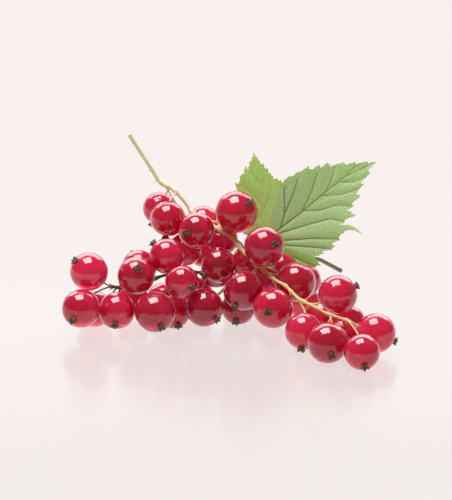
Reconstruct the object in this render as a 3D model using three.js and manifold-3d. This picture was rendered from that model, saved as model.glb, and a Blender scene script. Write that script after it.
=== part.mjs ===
// A sprig of redcurrants lying on a table: two fruiting stalks crossed in one heap, with one leaf behind them.
// Millimetres, +Z up, -Y is the front. The sprig stands on z = 0, with the middle of its box over the origin.
// Each berry, with its dried calyx, is one mesh. Each stalk is one mesh with all its berry stems.
import * as THREE from 'three';
import { mergeVertices } from 'three/addons/utils/BufferGeometryUtils.js';
import Module from 'manifold-3d';

// ---------------------------------------------------------------- driving dimensions

const STALK_RADIUS = 0.5;
const BERRY_STEM_RADIUS = 0.32;
const STEM_SPREAD = 0.22; // the share of its reach over which a berry stem runs on along the stalk
const STEM_BEND = 0.45; // and the share over which it turns into its berry, up to the longest bend
const LONGEST_BEND = 1.6;
const LEAF_STEM_RADIUS = 0.45;
const CALYX_RADIUS = 0.8; // of the dried flower remnant where it leaves the berry
const CALYX_LENGTH = 1.1;
const CALYX_FLARE = 1.25; // the remnant widens to this share of its radius at the tip
const GAP = 0.3; // between a berry stem and its berry, and between the leaf and its stem
const BLADE_THICKNESS = 0.5;

const BERRY_SIDES = 10;
const BERRY_BANDS = 5;
const STALK_SIDES = 6;
const BERRY_STEM_SIDES = 5;
const BERRY_STEM_STEPS = 4;
const LEAF_STEM_STEPS = 10;
const BLADE_SPOKES = 72;
const BLADE_RINGS = 5;

const COLOURS = {
  berry: { color: 0xc01433, roughness: 0.12, metalness: 0 },
  stalk: { color: 0xc9c48a, roughness: 0.55, metalness: 0 },
  darkStalk: { color: 0x6e6340, roughness: 0.6, metalness: 0 },
  blade: { color: 0x8fa860, roughness: 0.6, metalness: 0 },
};

// ---------------------------------------------------------------- where everything lies

// Each stalk's route, from its thick end to its thin end.
const MAIN_ROUTE = [
  [-26.5, 27, 46.7], [-24.2, 27, 43], [-20.8, 26.5, 37.7], [-18.2, 26, 33.9], [-14.8, 25, 32.1],
  [-11.4, 23.5, 28.7], [-10.1, 22.5, 26.8], [-5.2, 19.5, 24.2], [0.8, 15, 21.4], [2.9, 12, 19.6],
  [9.6, 4, 15.4], [12, -2, 15.1], [14.3, -5, 14.6], [17.7, -9, 12.3], [21.8, -13.5, 11.4],
  [25, -16, 10.3], [27.8, -18, 9.9], [30.4, -21, 9.8],
];
const REAR_ROUTE = [
  [29.4, 31.5, 8], [26, 30, 10.3], [22.8, 28.5, 12.2], [18, 26.5, 12], [12, 23, 11.2], [4, 17.5, 12.2],
  [-4, 14, 12.8], [-11, 11.5, 13.2], [-18, 9.5, 12.9], [-24.3, 8, 10.2], [-31, 4, 11.7],
];
const LEAF_STEM_ROUTE = [[8.3, 24.2, 17.4], [5, 26, 14], [1, 28.2, 8.5], [-2, 29.8, 3], [-5, 31, 0.5]];

// Each berry: the share of the way along its stalk where its stem leaves, its middle, its diameter,
// and the compass bearing and the elevation, in degrees, that its calyx points to.
const MAIN_BERRIES = [
  { leaves: 0.19, at: [-18.5, 29.25, 25.75], across: 8.8, bearing: -145, elevation: -60 },
  { leaves: 0.22, at: [-16.25, 20.25, 25.5], across: 9.3, bearing: -120, elevation: -75 },
  { leaves: 0.3, at: [-7, 27.25, 22.75], across: 8.3, bearing: 75, elevation: -30 },
  { leaves: 0.31, at: [-11.75, 20, 17.25], across: 8.8, bearing: -170, elevation: -60 },
  { leaves: 0.33, at: [1.75, 17, 28.25], across: 11.2, bearing: -45, elevation: 35 },
  { leaves: 0.35, at: [-8.75, 14.25, 24], across: 9.6, bearing: -120, elevation: 5 },
  { leaves: 0.37, at: [-2, 21.25, 19.5], across: 8.3, bearing: 75, elevation: -45 },
  { leaves: 0.48, at: [-3, 8.5, 16.25], across: 9.4, bearing: -150, elevation: -25 },
  { leaves: 0.51, at: [9, 4.25, 22.5], across: 10.6, bearing: -60, elevation: 20 },
  { leaves: 0.57, at: [3.5, 0, 11.75], across: 10.4, bearing: -120, elevation: -35 },
  { leaves: 0.61, at: [19.5, 10.25, 11.5], across: 8.8, bearing: 30, elevation: -20 },
  { leaves: 0.65, at: [17.25, 1, 13.75], across: 10.3, bearing: 40, elevation: -10 },
  { leaves: 0.67, at: [11.25, -6.75, 9], across: 10.6, bearing: -105, elevation: 5 },
  { leaves: 0.77, at: [19, -16, 5.5], across: 9.6, bearing: -100, elevation: -50 },
  { leaves: 0.82, at: [28, -10.5, 13.75], across: 10.3, bearing: 5, elevation: 25 },
  { leaves: 0.88, at: [31.25, -6.75, 5.5], across: 7.8, bearing: 60, elevation: -25 },
  { leaves: 0.92, at: [28.75, -15.5, 4.4], across: 9.4, bearing: 65, elevation: -35, rests: true },
  { leaves: 0.93, at: [25.25, -25, 5], across: 10.7, bearing: -80, elevation: -20, rests: true },
  { leaves: 0.99, at: [37.75, -20.25, 6.25], across: 10.4, bearing: 5, elevation: -25 },
  { leaves: 0.99, at: [34, -31.25, 4.4], across: 9.4, bearing: -80, elevation: -35, rests: true },
  { leaves: 0.17, at: [-7, 28, 14.4], across: 8.4, bearing: 0, elevation: -56 },
  { leaves: 0.41, at: [4.6, 14.7, 15.9], across: 8, bearing: -45, elevation: -62 },
  { leaves: 0.52, at: [9.1, 8.5, 12.2], across: 8.4, bearing: -24, elevation: -50 },
  { leaves: 0.74, at: [23.9, -1.8, 5.2], across: 9, bearing: 18, elevation: -43 },
];
const REAR_BERRIES = [
  { leaves: 0.99, at: [-36.75, 3.25, 16], across: 10, bearing: -155, elevation: 40 },
  { leaves: 0.99, at: [-38.75, -3.75, 8], across: 10.1, bearing: -115, elevation: -20 },
  { leaves: 0.96, at: [-35.25, 8, 4.45], across: 9.4, bearing: 135, elevation: -35, rests: true },
  { leaves: 0.95, at: [-29.5, 0.25, 6.25], across: 9.7, bearing: -95, elevation: -30 },
  { leaves: 0.88, at: [-24.5, 2.75, 15], across: 9.8, bearing: -80, elevation: 35 },
  { leaves: 0.8, at: [-23.75, 13, 14.25], across: 9.3, bearing: 115, elevation: 30 },
  { leaves: 0.84, at: [-19.5, -2.75, 6.75], across: 10.6, bearing: -70, elevation: -30 },
  { leaves: 0.69, at: [-16.5, 7.5, 19], across: 9.3, bearing: 160, elevation: 40 },
  { leaves: 0.74, at: [-14.75, 6.75, 4], across: 8.8, bearing: -70, elevation: -35, rests: true },
  { leaves: 0.71, at: [-17.5, 17.5, 4.2], across: 9, bearing: 105, elevation: -35, rests: true },
  { leaves: 0.7, at: [-12.5, -0.5, 14.25], across: 8.8, bearing: -55, elevation: -5 },
  { leaves: 0.65, at: [-6.75, 1.5, 6.75], across: 10.1, bearing: -45, elevation: -25 },
  { leaves: 0.57, at: [-9, 22, 4.3], across: 9.2, bearing: 115, elevation: -35, rests: true },
  { leaves: 0.42, at: [3, 20, 4.3], across: 9.4, bearing: 125, elevation: -35, rests: true },
  { leaves: 0.38, at: [10.3, 14, 4], across: 8.6, bearing: -60, elevation: -35, rests: true },
  { leaves: 0.3, at: [13.5, 17.25, 12.75], across: 8.8, bearing: -120, elevation: 20 },
  { leaves: 0.26, at: [19.2, 15.6, 4.2], across: 9, bearing: -20, elevation: -35, rests: true },
  { leaves: 0.47, at: [-3.4, 20, 11], across: 8.2, bearing: 100, elevation: -18 },
  { leaves: 0.44, at: [2.2, 10.4, 4], across: 8.8, bearing: -100, elevation: -35, rests: true },
  { leaves: 0.87, at: [-25.7, 14, 5.2], across: 8.4, bearing: 112, elevation: -41 },
];

// The leaf, around the point where its stem joins it. Each corner of the outline is a bearing in degrees
// from level, seen from the front, and a distance. The blade leans back and folds along its midrib.
const LEAF_BASE = [9.4, 24, 18.8];
const LEAF_LEAN = 12; // degrees
const MIDRIB_BEARING = 35;
const BLADE_FOLD = 0.12; // how steeply each half rises from the midrib
const BLADE_DROOP = 2.2; // how far the tip bends back
const BLADE_REACH = 35; // the midrib's length
const OUTLINE = [
  [-150, 1.6], [-90, 2.4], [-60, 5], [-45, 8.5], [-33, 14.8], [-25, 15.8], [-15, 15.1], [0, 19.4],
  [8, 25], [11, 20], [15, 24.2], [20, 23], [24, 27], [32, 32], [35, 35.5], [38, 33.5], [45, 28.8],
  [60, 22.2], [74, 15.7], [84, 17.2], [91, 19.8], [98, 23], [106, 20], [118, 16.9], [121, 15],
  [150, 9], [165, 6], [180, 2.6],
];

// ---------------------------------------------------------------- solids

const wasm = await Module();
wasm.setup();

/** The solid that manifold-3d makes of one closed three.js geometry. */
function solidOf(geometry) {
  const bare = geometry.clone();
  bare.deleteAttribute('normal');
  bare.deleteAttribute('uv');
  const merged = mergeVertices(bare, 1e-4);
  return new wasm.Manifold(new wasm.Mesh({
    numProp: 3,
    vertProperties: new Float32Array(merged.attributes.position.array),
    triVerts: new Uint32Array(merged.index.array),
  }));
}

/** A three.js geometry of a solid. */
function geometryOf(solid) {
  const mesh = solid.getMesh();
  const geometry = new THREE.BufferGeometry();
  geometry.setAttribute('position', new THREE.BufferAttribute(mesh.vertProperties, 3));
  geometry.setIndex(new THREE.BufferAttribute(mesh.triVerts, 1));
  geometry.computeVertexNormals();
  return geometry;
}

/** Everything of a geometry above z = height, and closed flat there. */
function cutBelow(geometry, height) {
  const room = 100;
  const slab = new THREE.BoxGeometry(room, room, room);
  slab.translate(0, 0, height - room / 2);
  return geometryOf(solidOf(geometry).subtract(solidOf(slab)));
}

const vector = (point) => new THREE.Vector3(...point);
const curveThrough = (points) => new THREE.CatmullRomCurve3(points.map(vector), false, 'centripetal');

/** A closed round tube along a curve. */
function tube(curve, radius, sides, steps) {
  const section = new THREE.Shape();
  for (let side = 0; side < sides; side += 1) {
    const turn = (side / sides) * 2 * Math.PI;
    const x = radius * Math.cos(turn);
    const y = radius * Math.sin(turn);
    if (side === 0) section.moveTo(x, y);
    else section.lineTo(x, y);
  }
  section.closePath();
  return new THREE.ExtrudeGeometry(section, { steps, bevelEnabled: false, extrudePath: curve });
}

// ---------------------------------------------------------------- berries and stalks

/** The unit vector that a berry's calyx points along. */
function calyxDirection(berry) {
  const bearing = THREE.MathUtils.degToRad(berry.bearing);
  const elevation = THREE.MathUtils.degToRad(berry.elevation);
  return new THREE.Vector3(
    Math.cos(elevation) * Math.cos(bearing),
    Math.cos(elevation) * Math.sin(bearing),
    Math.sin(elevation),
  );
}

/** A round berry with the short, flared remnant of its flower, turned on its own axis. */
function berryGeometry(berry) {
  const radius = berry.across / 2;
  const neck = Math.acos(CALYX_RADIUS / radius); // the latitude where the remnant starts
  const profile = [];
  for (let band = 0; band <= BERRY_BANDS; band += 1) {
    const latitude = -Math.PI / 2 + (band / BERRY_BANDS) * (neck + Math.PI / 2);
    const out = band === 0 ? 0 : radius * Math.cos(latitude);
    profile.push(new THREE.Vector2(out, radius * Math.sin(latitude)));
  }
  profile.push(new THREE.Vector2(CALYX_RADIUS * CALYX_FLARE, radius + CALYX_LENGTH));
  profile.push(new THREE.Vector2(0, radius + CALYX_LENGTH));
  const geometry = new THREE.LatheGeometry(profile, BERRY_SIDES);
  const turn = new THREE.Quaternion().setFromUnitVectors(new THREE.Vector3(0, 1, 0), calyxDirection(berry));
  geometry.applyQuaternion(turn);
  if (berry.rests) return cutBelow(geometry, -berry.at[2]);
  return geometry;
}

/** The curve of a berry's stem: out from the stalk and straight into the berry. */
function berryStemCurve(stalkCurve, berry) {
  const start = stalkCurve.getPointAt(berry.leaves);
  const axis = calyxDirection(berry);
  const end = vector(berry.at).addScaledVector(axis, -berry.across / 2 - GAP);
  const reach = start.distanceTo(end);
  const onward = stalkCurve.getTangentAt(berry.leaves).multiplyScalar(reach * STEM_SPREAD);
  const handle = end.clone().addScaledVector(axis, -Math.min(reach * STEM_BEND, LONGEST_BEND));
  return new THREE.CubicBezierCurve3(start, start.clone().add(onward), handle, end);
}

/** A stalk with all its berry stems, joined into one solid. */
function stalkGeometry(route, berries) {
  const curve = curveThrough(route);
  const steps = route.length * 2;
  let solid = solidOf(tube(curve, STALK_RADIUS, STALK_SIDES, steps));
  for (const berry of berries) {
    const stem = tube(berryStemCurve(curve, berry), BERRY_STEM_RADIUS, BERRY_STEM_SIDES, BERRY_STEM_STEPS);
    solid = solid.add(solidOf(stem));
  }
  return geometryOf(solid);
}

// ---------------------------------------------------------------- leaf

/** The distance from the leaf's base to its edge at a bearing in degrees, along straight edges. */
function edgeDistance(bearing) {
  const corners = [...OUTLINE, [OUTLINE[0][0] + 360, OUTLINE[0][1]]];
  const turn = bearing < corners[0][0] ? bearing + 360 : bearing;
  const next = corners.findIndex((corner) => corner[0] > turn);
  const [fromBearing, fromDistance] = corners[next - 1];
  const [toBearing, toDistance] = corners[next];
  const share = (turn - fromBearing) / (toBearing - fromBearing);
  return fromDistance + share * (toDistance - fromDistance);
}

/** How far the blade stands out of its own plane, towards the front, at a place on it. */
function bladeRelief(bearing, distance) {
  const fromMidrib = THREE.MathUtils.degToRad(bearing - MIDRIB_BEARING);
  const across = distance * Math.sin(fromMidrib);
  const along = distance * Math.cos(fromMidrib);
  const bend = Math.max(0, along) / BLADE_REACH;
  return BLADE_FOLD * Math.abs(across) - BLADE_DROOP * bend * bend;
}

/** The lobed blade: a flat disc whose rim is drawn out to the outline, then folded and leaned back. */
function bladeGeometry() {
  const half = BLADE_THICKNESS / 2;
  const profile = [];
  for (let ring = 0; ring <= BLADE_RINGS; ring += 1) {
    profile.push(new THREE.Vector2(ring / BLADE_RINGS, half));
  }
  for (let ring = BLADE_RINGS; ring >= 0; ring -= 1) {
    profile.push(new THREE.Vector2(ring / BLADE_RINGS, -half));
  }
  const geometry = new THREE.LatheGeometry(profile, BLADE_SPOKES);
  const places = geometry.attributes.position;
  const lean = THREE.MathUtils.degToRad(LEAF_LEAN);
  for (let index = 0; index < places.count; index += 1) {
    const share = Math.hypot(places.getX(index), places.getZ(index));
    const turn = Math.atan2(places.getZ(index), places.getX(index));
    const bearing = THREE.MathUtils.radToDeg(turn);
    const distance = share * edgeDistance(bearing);
    const right = distance * Math.cos(turn);
    const up = distance * Math.sin(turn);
    const out = places.getY(index) + bladeRelief(bearing, distance);
    places.setXYZ(
      index,
      LEAF_BASE[0] + right,
      LEAF_BASE[1] + up * Math.sin(lean) - out * Math.cos(lean),
      LEAF_BASE[2] + up * Math.cos(lean) + out * Math.sin(lean),
    );
  }
  return geometry;
}

// ---------------------------------------------------------------- the sprig

const sprig = new THREE.Group();

function addPiece(name, geometry, look, at = [0, 0, 0]) {
  const piece = new THREE.Mesh(geometry, new THREE.MeshStandardMaterial(look));
  piece.name = name;
  piece.position.set(...at);
  sprig.add(piece);
}

function addBerries(stem, berries) {
  berries.forEach((berry, index) => {
    const number = String(index + 1).padStart(2, '0');
    addPiece(`${stem}_${number}`, berryGeometry(berry), COLOURS.berry, berry.at);
  });
}

addPiece('main_stalk', stalkGeometry(MAIN_ROUTE, MAIN_BERRIES), COLOURS.stalk);
addPiece('rear_stalk', stalkGeometry(REAR_ROUTE, REAR_BERRIES), COLOURS.darkStalk);
addBerries('main_berry', MAIN_BERRIES);
addBerries('rear_berry', REAR_BERRIES);
addPiece('leaf_blade', bladeGeometry(), COLOURS.blade);
addPiece('leaf_stem', tube(curveThrough(LEAF_STEM_ROUTE), LEAF_STEM_RADIUS, STALK_SIDES, LEAF_STEM_STEPS), COLOURS.stalk);

// Centre the box of the whole sprig over the origin, and keep the table at z = 0.
const box = new THREE.Box3().setFromObject(sprig);
const middle = box.getCenter(new THREE.Vector3());
sprig.position.set(-middle.x, -middle.y, 0);

export default sprig;
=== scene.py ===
# %% [markdown]
# # A sprig of redcurrants
#
# A sprig of redcurrants is mostly light: thin glossy skins full of clear red juice, hung on
# pale stems. This lesson dresses a plain CAD model of one. The CAD model says where every berry,
# stalk and leaf is. Here each gets its real surface: skins that let light in, dried
# calyxes, stalks that swell where the berries leave them, and a veined, toothed leaf.
#
# The first cell loads that CAD model as a fixed frame, and prints the size of its box.

# %% Load the CAD model
import math

import bmesh
import bpy
import numpy as np
from mathutils import Matrix, Vector, noise


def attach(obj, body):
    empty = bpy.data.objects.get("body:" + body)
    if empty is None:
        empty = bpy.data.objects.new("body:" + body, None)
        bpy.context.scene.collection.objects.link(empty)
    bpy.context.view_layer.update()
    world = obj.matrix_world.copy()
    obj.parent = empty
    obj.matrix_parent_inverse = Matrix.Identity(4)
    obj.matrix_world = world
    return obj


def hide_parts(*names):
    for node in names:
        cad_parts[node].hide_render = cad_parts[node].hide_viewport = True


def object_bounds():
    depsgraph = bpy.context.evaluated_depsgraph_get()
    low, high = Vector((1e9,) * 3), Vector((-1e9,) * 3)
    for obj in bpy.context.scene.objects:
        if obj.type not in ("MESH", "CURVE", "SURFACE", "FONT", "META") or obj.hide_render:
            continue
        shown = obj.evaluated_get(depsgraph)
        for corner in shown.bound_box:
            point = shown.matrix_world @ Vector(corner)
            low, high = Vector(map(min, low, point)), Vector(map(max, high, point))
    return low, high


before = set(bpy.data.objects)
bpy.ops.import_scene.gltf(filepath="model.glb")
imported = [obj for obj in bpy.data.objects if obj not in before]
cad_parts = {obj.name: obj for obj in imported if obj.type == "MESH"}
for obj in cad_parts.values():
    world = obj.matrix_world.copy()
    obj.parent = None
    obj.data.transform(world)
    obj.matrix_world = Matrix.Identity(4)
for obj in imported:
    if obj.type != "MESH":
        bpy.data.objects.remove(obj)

cad_low, cad_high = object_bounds()
BERRY_NODES = sorted(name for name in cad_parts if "berry" in name)
box_mm = [round(side * 1000, 1) for side in Vector(cad_high) - Vector(cad_low)]
print(len(BERRY_NODES), "berries in a box of", box_mm, "mm")

# %% [markdown]
# ## Units and small helpers
#
# A berry is about ten millimetres across, so everything is modelled in millimetres and
# scaled to metres once, when a piece is finished. Colours are written as the hex codes a colour
# picker shows, and one function turns them into the linear light that a renderer adds up.

# %% Helpers that every piece uses
MM = 0.001


def linear(hex_code):
    """A colour picker's sRGB hex code as linear red, green, blue and alpha."""
    channels = [int(hex_code[i : i + 2], 16) / 255 for i in (1, 3, 5)]
    bent = [c / 12.92 if c <= 0.04045 else ((c + 0.055) / 1.055) ** 2.4 for c in channels]
    return (*bent, 1.0)


def add(material, kind, settings=None, inputs=None):
    """Adds a node with its settings, and sets or links its inputs: an output socket is linked."""
    node = material.node_tree.nodes.new(kind)
    for key, value in (settings or {}).items():
        setattr(node, key, value)
    for key, value in (inputs or {}).items():
        if isinstance(value, bpy.types.NodeSocket):
            material.node_tree.links.new(value, node.inputs[key])
        else:
            node.inputs[key].default_value = value
    return node


def new_material(name, **values):
    """A material with one Principled shader, and that shader."""
    material = bpy.data.materials.new(name)
    material.use_nodes = True
    shader = material.node_tree.nodes["Principled BSDF"]
    for key, value in values.items():
        shader.inputs[key.replace("_", " ").title().replace("Ior", "IOR")].default_value = value
    return material, shader


def link(material, output, socket):
    material.node_tree.links.new(output, socket)


def finish_piece(bm, name, materials, replaced):
    """Turns a bmesh in millimetres into a smooth piece in metres that rides on the one body."""
    closed = all(edge.is_manifold for edge in bm.edges)
    if closed and bm.calc_volume(signed=True) < 0:  # a closed piece that is inside out
        bmesh.ops.reverse_faces(bm, faces=bm.faces)
    bm.transform(Matrix.Scale(MM, 4))
    mesh = bpy.data.meshes.new(name)
    bm.to_mesh(mesh)
    bm.free()
    for face in mesh.polygons:
        face.use_smooth = True
    for material in materials:
        mesh.materials.append(material)
    piece = bpy.data.objects.new(name, mesh)
    bpy.context.scene.collection.objects.link(piece)
    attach(piece, "root")
    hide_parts(replaced)
    return piece


print("a half grey, #808080, is", round(linear("#808080")[0], 3), "in linear light")

# %% [markdown]
# ## The camera
#
# The sprig is seen from a little above the table, from far enough away that the near
# berries look no bigger than the far ones: a long lens, as for a still life.

# %% Camera
VIEW_DOWN = math.radians(16)
VIEW_DISTANCE = 2.4  # metres
FRAME_HEIGHT = 0.130  # the metres that the long side of the frame takes in
AIM = Vector((-0.0011, 0.0, 0.0232))  # the middle of the view, close to the middle of the sprig
SENSOR = 36.0  # millimetres

camera_data = bpy.data.cameras.new("camera")
camera_data.sensor_width = SENSOR
camera_data.lens = SENSOR * VIEW_DISTANCE / FRAME_HEIGHT
camera_data.clip_end = 10
camera = bpy.data.objects.new("camera", camera_data)
bpy.context.scene.collection.objects.link(camera)
toward_camera = Vector((0, -math.cos(VIEW_DOWN), math.sin(VIEW_DOWN)))
camera.location = AIM + toward_camera * VIEW_DISTANCE
camera.rotation_euler = (-toward_camera).to_track_quat("-Z", "Y").to_euler()
bpy.context.scene.camera = camera
bpy.context.scene.view_settings.view_transform = "Standard"
print("lens", round(camera_data.lens, 1), "mm")

# %% [markdown]
# ## Berry skin
#
# A redcurrant's skin is thin, tight and glossy, and the juice inside passes red light and
# stops the rest. So about half of the light is scattered under the surface (subsurface), and the
# other half goes straight through (transmission). A thin coat stands for the wax on the skin,
# which gives the second, sharper shine. Faint pale veins run from stem to calyx like
# meridians. They could be modelled, but they lie inside the skin, so they are colour only, drawn
# from the sphere's own UV map, whose first coordinate is the longitude. No two berries are
# equally ripe: a number stored on each berry's own mesh moves its colour from bright to dark.
# That same number also carries painted shade, which darkens the berries deep in the heap.

# %% Material: redcurrant skin
VEINS_ROUND = 12
VEIN_STRENGTH = 0.10  # how far a vein moves the colour of the skin towards its own
SKIN_MOTTLE = 420  # noise cells per metre: patches about 2.4 mm across
MOTTLE_SHARE = 0.35  # how much the patches change the ripeness of one berry


def redcurrant_skin():
    """Thin waxed skin over juice: a clear deep red with a sharp shine and a lit-up lower side."""
    material, shader = new_material(
        "redcurrant skin", roughness=0.10, ior=1.45, subsurface_weight=1.0,
        subsurface_radius=(1.0, 0.05, 0.10), subsurface_scale=0.005, transmission_weight=0.46,
        coat_weight=0.8, coat_roughness=0.05, coat_ior=1.6,
    )
    here = add(material, "ShaderNodeTexCoord").outputs["Object"]
    mottle = add(material, "ShaderNodeTexNoise",
                 inputs={"Vector": here, "Scale": SKIN_MOTTLE, "Detail": 3.0})
    # this number is the berry's ripeness plus painted shade, which darkens the berries deep in the
    # heap
    ripeness_and_shade = add(material, "ShaderNodeAttribute", {"attribute_name": "ripeness_and_shade"})
    blend = add(material, "ShaderNodeMath", {"operation": "MULTIPLY_ADD"},
                {0: mottle.outputs["Fac"], 1: MOTTLE_SHARE, 2: ripeness_and_shade.outputs["Fac"]})
    flesh = add(material, "ShaderNodeMix", {"data_type": "RGBA"},
                {"Factor": blend.outputs[0], "A": linear("#FF3062"), "B": linear("#C20C3E")})
    across = add(material, "ShaderNodeSeparateXYZ",
                 inputs={0: add(material, "ShaderNodeUVMap", {"uv_map": "berry"}).outputs[0]})
    turns = add(material, "ShaderNodeMath", {"operation": "MULTIPLY"},
                {0: across.outputs["X"], 1: 2 * math.pi * VEINS_ROUND})
    wave = add(material, "ShaderNodeMath", {"operation": "COSINE"}, {0: turns.outputs[0]})
    vein = add(material, "ShaderNodeMapRange", {"clamp": True},
               {"Value": wave.outputs[0], "From Min": 0.70, "From Max": 1.0,
                "To Max": VEIN_STRENGTH})
    colour = add(material, "ShaderNodeMix", {"data_type": "RGBA"},
                 {"Factor": vein.outputs[0], "A": flesh.outputs["Result"], "B": linear("#FF5468")})
    link(material, colour.outputs["Result"], shader.inputs["Base Color"])
    bump = add(material, "ShaderNodeBump",
               inputs={"Height": mottle.outputs["Fac"], "Strength": 0.04, "Distance": 0.0002})
    link(material, bump.outputs[0], shader.inputs["Normal"])
    return material


SKIN = redcurrant_skin()
print("the skin has", len(SKIN.node_tree.nodes), "nodes")

# %% [markdown]
# ## Where the berries are
#
# Each CAD berry is a faceted ball with a stub for its calyx. The middle of its box would be off by
# half the stub, so a sphere is fitted through the ball's corners by least squares. A few
# rounds of fitting leave out the corners that lie off the sphere. The corners that stand
# clear of it are the stub, and they give the direction of the calyx.

# %% Measure the CAD berries
FIT_ROUNDS = 6
ON_THE_BALL = 0.02  # a corner this share of the radius off the sphere still belongs to the ball
NEAREST_SHARE = 0.4  # and so does the nearest part of all corners
STUB_STARTS = 1.1  # corners beyond this many radii belong to the stub


def fit_sphere(points):
    """The sphere through points: |p|^2 = 2 p.c + k is linear in the centre c and in k."""
    rows = np.column_stack([2 * points, np.ones(len(points))])
    answer = np.linalg.lstsq(rows, (points**2).sum(axis=1), rcond=None)[0]
    return answer[:3], math.sqrt(answer[3] + answer[:3] @ answer[:3])


def measure_berry(node):
    """Centre, radius and calyx direction of a CAD berry, in millimetres."""
    points = np.array([v.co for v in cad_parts[node].data.vertices]) / MM
    ball = points
    for _ in range(FIT_ROUNDS):
        centre, radius = fit_sphere(ball)
        off = np.abs(np.linalg.norm(points - centre, axis=1) - radius)
        ball = points[off < max(ON_THE_BALL * radius, np.quantile(off, NEAREST_SHARE))]
    reach = np.linalg.norm(points - centre, axis=1)
    stub = points[reach > STUB_STARTS * radius].mean(axis=0)
    return Vector(centre), radius, Vector(stub - centre).normalized()


BERRIES = {node: measure_berry(node) for node in BERRY_NODES}
widths = [2 * radius for _, radius, _ in BERRIES.values()]
print("berries", round(min(widths), 1), "to", round(max(widths), 1), "mm across")

# %% [markdown]
# ## Shaping a berry
#
# A berry is nearly a ball, dimpled a little at its stem and at its calyx. It could be a
# subdivided cube, but a UV sphere already has its poles in those two places. Its points are
# moved along their own radii: in at both poles, and into very shallow ribs. A berry that rests
# on the table is pressed flat where it touches. The berries in the middle of the heap are painted
# darker than those outside. This is painted shade, for the shade that falls deep in the heap.

# %% Berry skins
AROUND, UP = 48, 32
RIB_DEPTH = 0.002  # this depth and the next two are shares of the berry's radius
POLE_DIMPLE, DIMPLE_WIDTH = 0.04, 0.03
UNEVEN, UNEVEN_SCALE = 0.010, 1.3
TABLE_FILM = 0.01  # a resting berry stops this many millimetres above the table
RIPENESS, RIPENESS_SPREAD = 0.15, 0.5
# painted shade: berries near this place, deep in the heap, are painted darker
HEAP_SHADE_MIDDLE, HEAP_SHADE_REACH, HEAP_SHADE_BY = Vector((-3, 8, 11)), 13.0, 0.65  # a place and a reach in mm


def shape_berry(bm, radius, seed):
    """Moves a sphere's points along their radii. Each seed has its own place in the noise."""
    for vertex in bm.verts:
        out = vertex.co.normalized()
        longitude = math.atan2(out.y, out.x)
        ribs = RIB_DEPTH * math.cos(VEINS_ROUND * longitude) * math.hypot(out.x, out.y) ** 2
        dimple = POLE_DIMPLE * math.exp(-((1 - abs(out.z)) / DIMPLE_WIDTH))
        uneven = UNEVEN * noise.noise(out * UNEVEN_SCALE + Vector((seed * 7.1, 0, 0)))
        vertex.co = out * radius * (1 + ribs - dimple + uneven)


def make_berry(node, seed):
    centre, radius, axis = BERRIES[node]
    bm = bmesh.new()
    bm.loops.layers.uv.new("berry")
    bmesh.ops.create_uvsphere(bm, u_segments=AROUND, v_segments=UP, radius=radius, calc_uvs=True)
    shape_berry(bm, radius, seed)
    turn = axis.to_track_quat("Z", "Y").to_matrix().to_4x4()
    bm.transform(Matrix.Translation(centre) @ turn)
    for vertex in bm.verts:
        vertex.co.z = max(vertex.co.z, TABLE_FILM)
    ripeness_and_shade = bm.verts.layers.float.new("ripeness_and_shade")
    ripe_and_shaded = RIPENESS + RIPENESS_SPREAD * noise.noise(Vector((seed * 3.7, 1.1, 0.4)))
    # painted shade: a berry is painted darker the nearer it is to the middle of the heap
    ripe_and_shaded += HEAP_SHADE_BY * math.exp(-((centre - HEAP_SHADE_MIDDLE).length / HEAP_SHADE_REACH) ** 2)
    for vertex in bm.verts:
        vertex[ripeness_and_shade] = ripe_and_shaded
    return finish_piece(bm, f"{node}_skin", [SKIN], node)


for number, node in enumerate(BERRY_NODES):
    make_berry(node, number)
print("made", len(BERRY_NODES), "skins")

# %% [markdown]
# ## The dried calyx
#
# At the end away from its stem every berry keeps what is left of its flower: a short tube with five
# shrivelled lobes. It is dead, papery tissue, dry and brown, so it has almost no shine. Fine
# fibres run through it, pale where they are worn and dark between, with a strong bump.

# %% Material: dried calyx
CALYX_FIBRES = 2600.0  # noise cells per metre: fibres about 0.4 mm apart


def dried_calyx():
    """Dry brown plant tissue: dull, with fibres light and dark, so it looks withered."""
    material, shader = new_material("dried calyx", roughness=0.85)
    here = add(material, "ShaderNodeTexCoord").outputs["Object"]
    fibres = add(material, "ShaderNodeTexNoise",
                 inputs={"Vector": here, "Scale": CALYX_FIBRES, "Detail": 4.0})
    colour = add(material, "ShaderNodeValToRGB", inputs={"Fac": fibres.outputs["Fac"]})
    colour.color_ramp.elements[0].position = 0.35
    colour.color_ramp.elements[0].color = linear("#52342B")
    colour.color_ramp.elements[1].position = 0.68
    colour.color_ramp.elements[1].color = linear("#AE9180")
    link(material, colour.outputs["Color"], shader.inputs["Base Color"])
    bump = add(material, "ShaderNodeBump",
               inputs={"Height": fibres.outputs["Fac"], "Strength": 0.8, "Distance": 0.0002})
    link(material, bump.outputs[0], shader.inputs["Normal"])
    return material


CALYX = dried_calyx()
print("the calyx has", len(CALYX.node_tree.nodes), "nodes")

# %% [markdown]
# ### Shaping a calyx
#
# The calyx is a cup a millimetre high. Five separate petals would be lost at this size, so it
# starts as one cone that widens outwards. Its far end is inset three times: level for the rim,
# pushed in for the hollow, and raised again for the dead style in the middle. A wave of
# five round the rim makes the lobes, and noise crumples them, more the further out they are.

# %% Dried calyxes
CALYX_BASE, CALYX_RIM, CALYX_HEIGHT = 0.64, 1.02, 1.05  # radii and height in millimetres
CALYX_SIDES, CALYX_CUTS = 30, 5
CALYX_SUNK = 0.25  # how deep its foot sits in the berry
CALYX_INSETS = [(0.18, 0.0), (0.22, -0.40), (0.16, 0.55)]  # inwards, and up or down
LOBES, LOBE_FLARE, LOBE_RISE = 5, 0.14, 0.20
CRUMPLE, CRUMPLE_SCALE = 0.26, 1.9
noise.seed_set(1)  # noise_vector is seeded by the clock otherwise, and no two runs would be alike


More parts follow.
